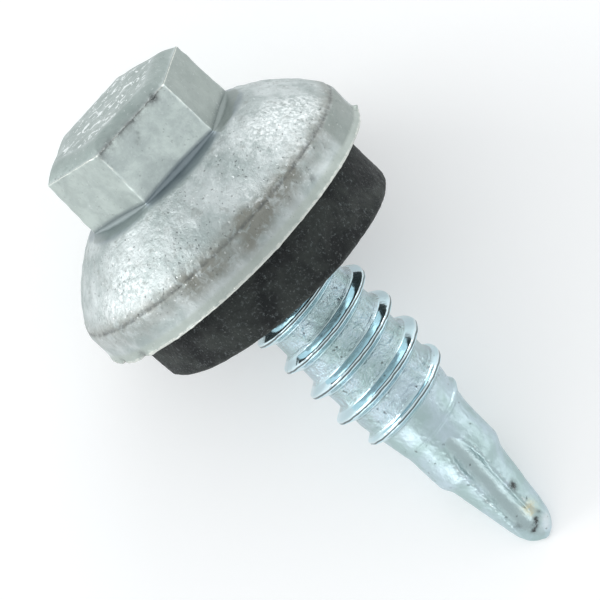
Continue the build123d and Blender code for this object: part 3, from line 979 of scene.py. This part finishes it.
def start_group(name, inputs, outputs):
    """New node group with its sockets, its inputs as values and its output sockets."""
    tree = bpy.data.node_groups.new(name, "ShaderNodeTree")
    for label, default in inputs.items():
        kind = "NodeSocketVector" if default is None else "NodeSocketFloat"
        socket = tree.interface.new_socket(label, in_out="INPUT", socket_type=kind)
        if default is not None:
            socket.default_value = default
    for label in outputs:
        tree.interface.new_socket(label, in_out="OUTPUT", socket_type="NodeSocketFloat")
    start = tree.nodes.new("NodeGroupInput")
    given = [Value(start.outputs[label]) for label in inputs]
    return tree, given, tree.nodes.new("NodeGroupOutput").inputs


def metal_grain_group():
    """Grain of a cast or plated surface: relief, broad mottling, dark pits and bright glints."""
    name = "Metal grain"
    if name in bpy.data.node_groups:
        return bpy.data.node_groups[name]
    inputs = {"Place": None, "Fineness": 6.0, "Pit Amount": 0.3, "Glint Amount": 0.3}
    outputs = ("Relief", "Mottling", "Pits", "Glints")
    tree, (place, fineness, pit_share, glint_share), out = start_group(name, inputs, outputs)
    bend = noise(place, 9.0, 2.0, 0.5, output="Color")
    shift = node(tree, "ShaderNodeVectorMath", operation="MULTIPLY_ADD")
    for socket, value in zip(shift.inputs, (bend, (0.22, 0.22, 0.22), place)):
        put(socket, value)
    inputs = {"Vector": Value(shift.outputs["Vector"]), "Scale": fineness, "Randomness": 1.0}
    cells = node(tree, "ShaderNodeTexVoronoi", inputs, feature="F1").outputs
    lottery = node(tree, "ShaderNodeSeparateColor", {"Color": Value(cells["Color"])}).outputs
    centre = remapped(Value(cells["Distance"]), 0.12, 0.36, 1.0, 0.0)
    pits, glints = (
        centre * reckon("GREATER_THAN", Value(lottery[ticket]), 1.0 - share * 0.5)
        for ticket, share in (("Red", pit_share), ("Green", glint_share))
    )
    relief = noise(place, fineness, 4.0, 0.65) - pits * 0.5
    mottling = noise(place, fineness * 0.12, 5.0, 0.6, 0.3)
    for label, value in zip(outputs, (relief, mottling, pits, glints)):
        put(out[label], value)
    return tree


def worn_edge_group():
    """Edge wear: a mark along an edge, broken up by noise into a ragged bright line."""
    name = "Worn edge"
    if name in bpy.data.node_groups:
        return bpy.data.node_groups[name]
    inputs = {"Place": None, "Edge": 0.0, "Grain": 3.0, "Amount": 1.0}
    tree, (place, edge, grain, amount_worn), out = start_group(name, inputs, ["Wear"])
    ragged = noise(place, grain, 4.0, 0.7)
    put(out["Wear"], remapped(edge + (ragged - 0.5), 0.62, 0.92).within(amount_worn))
    return tree


def stain_group():
    """Patchy stain: where a broad noise rises past a line, with a soft and uneven border."""
    name = "Patchy stain"
    if name in bpy.data.node_groups:
        return bpy.data.node_groups[name]
    inputs = {"Place": None, "Size": 1.5, "Spread": 0.5, "Softness": 0.12}
    tree, (place, size, spread, softness), out = start_group(name, inputs, ["Stain"])
    patch = noise(place, reckon("DIVIDE", 1.0, size), 6.0, 0.62, 0.6)
    line = 0.75 - spread * 0.5
    put(out["Stain"], remapped(patch, line - softness, line + softness))
    return tree


def grouped(place, group, **inputs):
    """A node group's outputs over a place, with this material's own values."""
    made = node(place.tree, "ShaderNodeGroup", node_tree=group)
    for name, value in {"Place": place, **inputs}.items():
        put(made.inputs[name.replace("_", " ")], value)
    return {output.name: Value(output) for output in made.outputs}


def new_material(name):
    """Material with one Principled shader, its tree and that shader's sockets."""
    material = bpy.data.materials.new(name)
    material.use_nodes = True
    tree = material.node_tree
    return material, tree, tree.nodes["Principled BSDF"].inputs


def raise_surface(shader, height, distance, strength):
    """Bump from a height over the surface."""
    inputs = {"Height": height, "Distance": distance, "Strength": strength}
    put(shader["Normal"], Value(node(height.tree, "ShaderNodeBump", inputs).outputs["Normal"]))


def cast_zinc(look):
    """As-cast zinc alloy: dull light grey, grainy, pitted, stained along the crease."""
    material, tree, shader = new_material("Cast zinc alloy")
    place = screw_place(tree)
    names = ("edge", "grain", "crease", "ledge", "shade_lines_and_nicks", "painted_highlight", "tarnish_and_shade", "lip_band", "flat")
    marks = {name: mark(tree, name) for name in (*names, "middle", "border")}
    surface = grouped(
        place, metal_grain_group(), Fineness=6.0, Pit_Amount=0.35, Glint_Amount=0.3
    )
    pits, glints = surface["Pits"] * marks["grain"], surface["Glints"] * marks["grain"]
    wear = grouped(place, worn_edge_group(), Edge=marks["edge"], Grain=3.5)["Wear"]
    stain = grouped(place, stain_group(), Size=0.45, Spread=0.66, Softness=0.15)["Stain"]
    film = grouped(place, stain_group(), Size=1.3, Spread=0.75, Softness=0.14)["Stain"]
    dirt = stain.or_more(film * 0.4).within(marks["crease"])
    shade_lines_and_nicks = marks["shade_lines_and_nicks"].within(remapped(noise(place, 2.6, 5.0, 0.7), 0.35, 0.62, 0.12))
    painted_highlight = marks["painted_highlight"].within(remapped(noise(place, 5.0, 6.0, 0.7), 0.42, 0.62))
    smudge = noise(place, 1.1, 5.0, 0.6, 0.4)
    blotches = remapped(noise(place, 2.0, 6.0, 0.7, 0.5), 0.54, 0.66, 0.0, 0.5)
    # Painted glints over the middle of the top, raised a little as well.
    top_glints = remapped(noise(place, 1.9, 3.0, 0.6, 1.4), 0.56, 0.61) * marks["middle"]
    patches = remapped(noise(place, 0.9, 7.0, 0.68, 0.2), 0.34, 0.66)
    layers = [
        (look.casting_smudge, remapped(smudge, 0.5, 0.75, 0.0, 0.55)),
        (look.casting_blotch, blotches * marks["grain"]),
        (look.casting_border, marks["middle"] * 0.6),
        (blended(patches, look.casting_flat_dark, look.casting_flat), marks["flat"] * 0.8),
        # Painted glints on the top.
        (look.casting_highlight, top_glints * 0.8),
        (look.casting_border, marks["border"] * 0.7),
        # Painted shade at the hexagon's foot.
        (look.casting_ledge_shade, marks["ledge"] * 0.9),
        (look.casting_lip, marks["lip_band"] * 0.7),
        # Painted highlights on the dome and above the crease.
        (look.casting_highlight, painted_highlight * 0.8),
        (look.stain, dirt * 0.85),
        # Dark patch on the skirt, and painted shade on the right and left flats.
        (look.tarnish_and_shade, marks["tarnish_and_shade"] * 0.8),
        (look.pit, pits * 0.7),
        (look.casting_edge, wear * 0.75),
        (look.casting_highlight, glints * 0.6),
        # Painted shade in the crease and below the top edge, with dark nicks and dents.
        (look.pit, shade_lines_and_nicks * 0.8),
    ]
    tone = remapped(surface["Mottling"], 0.32, 0.68)
    base = blended(tone, look.casting_dark, look.casting_light)
    dull = (dirt * 0.6).or_more(pits).or_more(shade_lines_and_nicks)
    relief = surface["Relief"] * (marks["grain"] + 0.12) + top_glints * 0.5
    put(shader["Base Color"], layered(base, layers))
    put(shader["Roughness"], remapped(smudge, 0.3, 0.7, 0.40, 0.52) - glints * 0.2 - wear * 0.15)
    put(shader["Metallic"], remapped(dull, 0.0, 1.0, 0.9, 0.25))
    raise_surface(shader, relief, 0.06 * MM, 0.9)
    return material


def zinc_plate(look):
    """Bright blue-white zinc plating: mirror-like flanks, mottled root, fine lines on the crest."""
    material, tree, shader = new_material("Bright zinc plate")
    place = screw_place(tree)
    names = ("crest", "crest_side", "flank", "flute", "rim", "tip_highlight", "spots", "rust", "root")
    marks = {name: mark(tree, name) for name in names}
    surface = grouped(
        place, metal_grain_group(), Fineness=4.5, Pit_Amount=0.12, Glint_Amount=0.4
    )
    side = marks["crest_side"] + (noise(place, 1.6) - 0.5) * 0.12
    # Painted highlight: a thin bright line along each crest, beside a dark line.
    crest_highlight = remapped(reckon("ABSOLUTE", side + 0.085), 0.015, 0.05, 1.0, 0.0)
    crest_highlight = crest_highlight * marks["crest"] * 0.3
    dark_line = remapped(reckon("ABSOLUTE", side - 0.01), 0.02, 0.06, 1.0, 0.0) * marks["crest"]
    burr = marks["rim"] * 0.68
    wear = grouped(place, worn_edge_group(), Edge=burr, Grain=3.0, Amount=0.8)["Wear"]
    gaps = remapped(noise(place, 4.0, 5.0, 0.7), 0.35, 0.6, 0.2)
    layers = [
        # Painted reflection on the thread flanks.
        (look.plate_flank_reflection, marks["flank"] * 0.7),
        # Painted shade inside the flutes.
        (look.plate_flute_shade, marks["flute"] * 0.75),
        # Painted highlight at the tip.
        (look.plate_bright, marks["tip_highlight"] * 0.45),
        (look.rust, marks["rust"].within(gaps)),
        # Pits and dark spots, with a painted shadow along the tip's cutting edge.
        (look.pit, (surface["Pits"] * 0.6).or_more(marks["spots"].within(gaps))),
        (look.pit, dark_line * 0.9),
        # Rubbed burrs, and a painted highlight along each crest.
        (look.plate_bright, wear.or_more(crest_highlight)),
    ]
    tone = remapped(surface["Mottling"], 0.35, 0.65)
    base = blended(tone, look.plate_green, look.plate_blue)
    rough = remapped(surface["Mottling"], 0.35, 0.65, 0.40, 0.28)
    rough = rough - marks["root"] * 0.14 - marks["flank"] * 0.2
    hammered = noise(place, 1.9, 3.0, 0.6, 0.4) * marks["root"]
    relief = surface["Relief"] * (marks["root"] + 0.5) + hammered * 2.6
    put(shader["Base Color"], layered(base, layers))
    put(shader["Roughness"], rough.or_more(0.08))
    put(shader["Metallic"], 1.0)
    raise_surface(shader, relief * (1.0 - marks["flank"]), 0.09 * MM, 0.85)
    return material


def black_rubber(look):
    """Moulded rubber: charcoal and matt, with fine light specks of filler and dust."""
    material, tree, shader = new_material("Black rubber")
    place = screw_place(tree)
    surface = grouped(place, metal_grain_group(), Fineness=8.0, Pit_Amount=0.2, Glint_Amount=0.4)
    dust = grouped(place, stain_group(), Size=1.8, Spread=0.45, Softness=0.16)["Stain"]
    edge = mark(tree, "edge")
    wear = grouped(place, worn_edge_group(), Edge=edge, Grain=2.5, Amount=0.6)["Wear"]
    layers = [
        (look.rubber_dust, dust * 0.5),
        (look.rubber_dust, wear * 0.5),
        (look.rubber_crumb, remapped(noise(place, 5.5, 4.0, 0.8, 0.4), 0.54, 0.68, 0.0, 0.9)),
        (look.rubber_speck, surface["Glints"] * 0.5),
    ]
    base = blended(surface["Mottling"], look.rubber_dark, look.rubber_light)
    put(shader["Base Color"], layered(base, layers))
    put(shader["Roughness"], remapped(surface["Mottling"], 0.3, 0.7, 0.62, 0.85))
    put(shader["Specular IOR Level"], 0.3)
    raise_surface(shader, surface["Relief"], 0.06 * MM, 0.9)
    return material


# --- Stage ---
PICTURE_WIDTH = 600     # pixels
SENSOR_WIDTH = 36.0     # millimetres
CLIP_START = 0.01
FLOOR_STEPS = 24        # mesh steps along each side of the floor
FLOOR_GLOW = 0.08
WORLD_TINT = (0.96, 0.985, 1.0, 1)
WORLD_LEVEL = 0.82
LIGHT_DISTANCE = 0.5
# Soft boxes: the way to each one from the screw, as shares of the way to the camera, of the
# picture's right and of its up; its two sides in metres; its watts.
SOFT_BOXES = {
    "left_light": ((0.25, -0.97, -0.10), (0.3, 0.2), 1.1),
    "back_light": ((0.20, 0.05, 0.98), (0.3, 0.2), 0.6),
    "front_light": ((0.25, -0.20, -0.95), (0.3, 0.2), 0.35),
    "right_light": ((0.15, 0.90, 0.40), (0.3, 0.3), 0.3),
}


def floor_material(look):
    """Pale matt floor with a trace of mottling."""
    material, tree, shader = new_material("Studio floor")
    place = Value(node(tree, "ShaderNodeTexCoord").outputs["Object"])
    darker = [channel * 0.985 for channel in look.floor]
    put(shader["Base Color"], blended(noise(place, 9.0), darker, look.floor))
    put(shader["Roughness"], 0.9)
    put(shader["Specular IOR Level"], 0.2)
    put(shader["Emission Color"], (1.0, 1.0, 1.0, 1.0))
    put(shader["Emission Strength"], FLOOR_GLOW)
    return material


def build_floor(stage, look):
    """Square floor, as a fine grid."""
    half = stage.floor_size * MM / 2
    steps = np.linspace(-half, half, FLOOR_STEPS + 1)
    row = len(steps)
    faces = [
        (first, first + 1, first + row + 1, first + row)
        for start in range(0, row * FLOOR_STEPS, row)
        for first in range(start, start + FLOOR_STEPS)
    ]
    mesh = bpy.data.meshes.new("studio_floor")
    mesh.from_pydata([(x, y, 0.0) for y in steps for x in steps], [], faces)
    mesh.materials.append(floor_material(look))
    floor = linked("studio_floor", mesh)


def soft_box(name, target, toward, sides, watts):
    """Area light that shines at the screw from a direction."""
    light = bpy.data.lights.new(name, "AREA")
    light.shape = "RECTANGLE"
    light.size, light.size_y = sides
    light.energy = watts
    lamp = linked(name, light)
    toward = toward.normalized()
    lamp.location = target + toward * LIGHT_DISTANCE
    lamp.rotation_euler = toward.to_track_quat("Z", "Y").to_euler()


def place_camera(stage, matrix):
    """Camera that sees the axis turned and tilted as the stage's sizes say.

    Gives the place it looks at, and the ways to the camera, to the picture's right and up."""
    target = matrix @ Vector((0, stage.centre_shift, -stage.centre_depth))
    lean = asin(AXIS_UP.z) - stage.axis_tilt
    viewer = Vector((sin(lean), 0, cos(lean)))
    along = Vector((cos(lean), 0, -sin(lean)))
    right = along * cos(stage.axis_turn) + SIDE * sin(stage.axis_turn)
    up = SIDE * cos(stage.axis_turn) - along * sin(stage.axis_turn)
    data = bpy.data.cameras.new("camera")
    data.sensor_width = SENSOR_WIDTH
    data.lens = stage.pixels_per_mm * stage.camera_distance * SENSOR_WIDTH / PICTURE_WIDTH
    data.clip_start = CLIP_START
    data.dof.use_dof = False
    camera = linked("camera", data)
    turn = Matrix((right, up, viewer)).transposed().to_4x4()
    camera.matrix_world = Matrix.Translation(target + viewer * stage.camera_distance * MM) @ turn
    bpy.context.scene.camera = camera
    return target, (viewer, right, up)


def studio_world():
    """Soft pale surroundings."""
    world = bpy.data.worlds.new("Studio")
    world.use_nodes = True
    bpy.context.scene.world = world
    background = world.node_tree.nodes["Background"].inputs
    background["Color"].default_value = WORLD_TINT
    background["Strength"].default_value = WORLD_LEVEL
    bpy.context.scene.view_settings.view_transform = "Standard"


# --- Operators ---
class SCREW_OT_stage(bpy.types.Operator):
    """Sets up the floor, the lights and the camera"""

    bl_idname = "screw.stage"
    bl_label = "Stage"

    def execute(self, context):
        scene = context.scene
        build_floor(scene.screw_stage, scene.screw_finishes)
        matrix = screw_matrix(scene.screw_head.hex_height)
        target, ways = place_camera(scene.screw_stage, matrix)
        studio_world()
        for name, (shares, sides, watts) in SOFT_BOXES.items():
            toward = sum((way * share for way, share in zip(ways, shares)), Vector())
            soft_box(name, target, toward, sides, watts)
        return {"FINISHED"}


class SCREW_OT_head(bpy.types.Operator):
    """Builds the cast flange head with its hexagon"""

    bl_idname = "screw.head"
    bl_label = "Cast head"

    def execute(self, context):
        scene = context.scene
        head = build_head(scene.screw_head)
        seat(head, "cast_head", cast_zinc(scene.screw_finishes))
        return {"FINISHED"}


class SCREW_OT_washer(bpy.types.Operator):
    """Builds the rubber sealing washer"""

    bl_idname = "screw.washer"
    bl_label = "Sealing washer"

    def execute(self, context):
        scene = context.scene
        washer = build_washer(scene.screw_washer)
        seat(washer, "sealing_washer", black_rubber(scene.screw_finishes))
        return {"FINISHED"}


class SCREW_OT_shank(bpy.types.Operator):
    """Builds the threaded shank with its drill point"""

    bl_idname = "screw.shank"
    bl_label = "Threaded shank"

    def execute(self, context):
        scene = context.scene
        shank = build_shank(scene.screw_shank)
        seat(shank, "screw_shank", zinc_plate(scene.screw_finishes))
        return {"FINISHED"}


OPERATORS = (SCREW_OT_stage, SCREW_OT_head, SCREW_OT_washer, SCREW_OT_shank)
SIZE_GROUPS = {
    "screw_head": HeadSizes,
    "screw_washer": WasherSizes,
    "screw_shank": ShankSizes,
    "screw_stage": StageSizes,
    "screw_finishes": Finishes,
}


class SCREW_PT_looks(bpy.types.Panel):
    """Builders and sizes of the roofing screw"""

    bl_idname = "SCREW_PT_looks"
    bl_label = "Roofing Screw"
    bl_space_type = "VIEW_3D"
    bl_region_type = "UI"
    bl_category = "Roofing Screw"

    def draw(self, context):
        for operator in OPERATORS:
            self.layout.operator(operator.bl_idname)
        for name, group in SIZE_GROUPS.items():
            column = self.layout.column(align=True)
            column.label(text=group.__doc__)
            for setting in group.__annotations__:
                column.prop(getattr(context.scene, name), setting)


CLASSES = (*SIZE_GROUPS.values(), *OPERATORS, SCREW_PT_looks)


def register():
    """Registers the classes and hangs the size groups on the scene."""
    for made in CLASSES:
        bpy.utils.register_class(made)
    for name, group in SIZE_GROUPS.items():
        setattr(bpy.types.Scene, name, bpy.props.PointerProperty(type=group))


def unregister():
    """Takes the size groups and the classes away again."""
    for name in SIZE_GROUPS:
        delattr(bpy.types.Scene, name)
    for made in reversed(CLASSES):
        bpy.utils.unregister_class(made)


def main():
    """Builds every piece and the stage."""
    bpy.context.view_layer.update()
    register()
    for operator in OPERATORS:
        family, action = operator.bl_idname.split(".")
        getattr(getattr(bpy.ops, family), action)()


if __name__ == "__main__":
    main()
